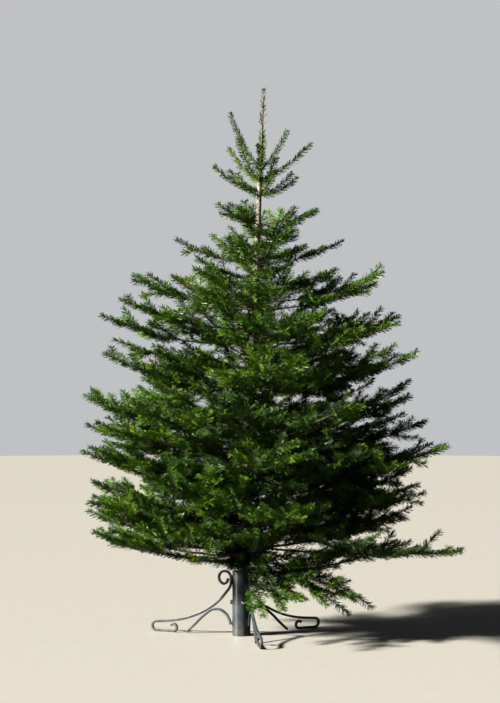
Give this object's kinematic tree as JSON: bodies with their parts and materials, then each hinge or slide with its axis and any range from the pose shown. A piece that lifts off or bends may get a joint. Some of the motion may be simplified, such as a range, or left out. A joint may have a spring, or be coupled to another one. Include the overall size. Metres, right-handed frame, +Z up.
{
  "type": "christmas tree in a stand",
  "caption": "Cut fir Christmas tree, undecorated, leaning slightly, clamped in a dark iron stand with a tube and scrolled legs.",
  "frame": {"origin": "on the ground, at the middle of the underside of the stand's tube", "axes": "+Z up; +X the side that the trunk leans to; +Y away from the front, which shows the tree with its lean to the right"},
  "size_m": [1.567, 1.5561, 2.3],
  "materials": {
    "needles": "fir needles, dark green, glossy above and pale below",
    "bark": "thin grey-brown bark, matt",
    "iron_paint": "anthracite paint, satin, worn by use outdoors",
    "zinc": "dull zinc plating"
  },
  "bodies": {
    "root": {"stand_tube": "iron_paint", "clamp_screw_1": "zinc", "leg_1": "iron_paint", "brace_1": "iron_paint", "clamp_screw_2": "zinc", "leg_2": "iron_paint", "brace_2": "iron_paint", "clamp_screw_3": "zinc", "leg_3": "iron_paint", "brace_3": "iron_paint", "trunk": "bark", "needles_top_1": "needles", "needles_top_2": "needles", "needles_top_3": "needles", "needles_crown_1": "needles", "needles_crown_2": "needles", "needles_crown_3": "needles", "needles_high_1": "needles", "needles_high_2": "needles", "needles_high_3": "needles", "needles_high_4": "needles", "needles_upper_1": "needles", "needles_upper_2": "needles", "needles_upper_3": "needles", "needles_upper_4": "needles", "needles_chest_1": "needles", "needles_chest_2": "needles", "needles_chest_3": "needles", "needles_chest_4": "needles", "needles_middle_1": "needles", "needles_middle_2": "needles", "needles_middle_3": "needles", "needles_middle_4": "needles", "needles_middle_5": "needles", "needles_waist_1": "needles", "needles_waist_2": "needles", "needles_waist_3": "needles", "needles_waist_4": "needles", "needles_waist_5": "needles", "needles_lower_1": "needles", "needles_lower_2": "needles", "needles_lower_3": "needles", "needles_lower_4": "needles", "needles_lower_5": "needles", "needles_skirt_1": "needles", "needles_skirt_2": "needles", "needles_skirt_3": "needles", "needles_skirt_4": "needles", "bough_hem_1": "bark", "needles_hem_1": "needles", "bough_hem_2": "bark", "needles_hem_2": "needles", "bough_hem_3": "bark", "needles_hem_3": "needles", "bough_hem_4": "bark", "needles_hem_4": "needles", "bough_drooping_1": "bark", "needles_drooping_1": "needles", "bough_drooping_2": "bark", "needles_drooping_2": "needles"}
  },
  "joints": []
}
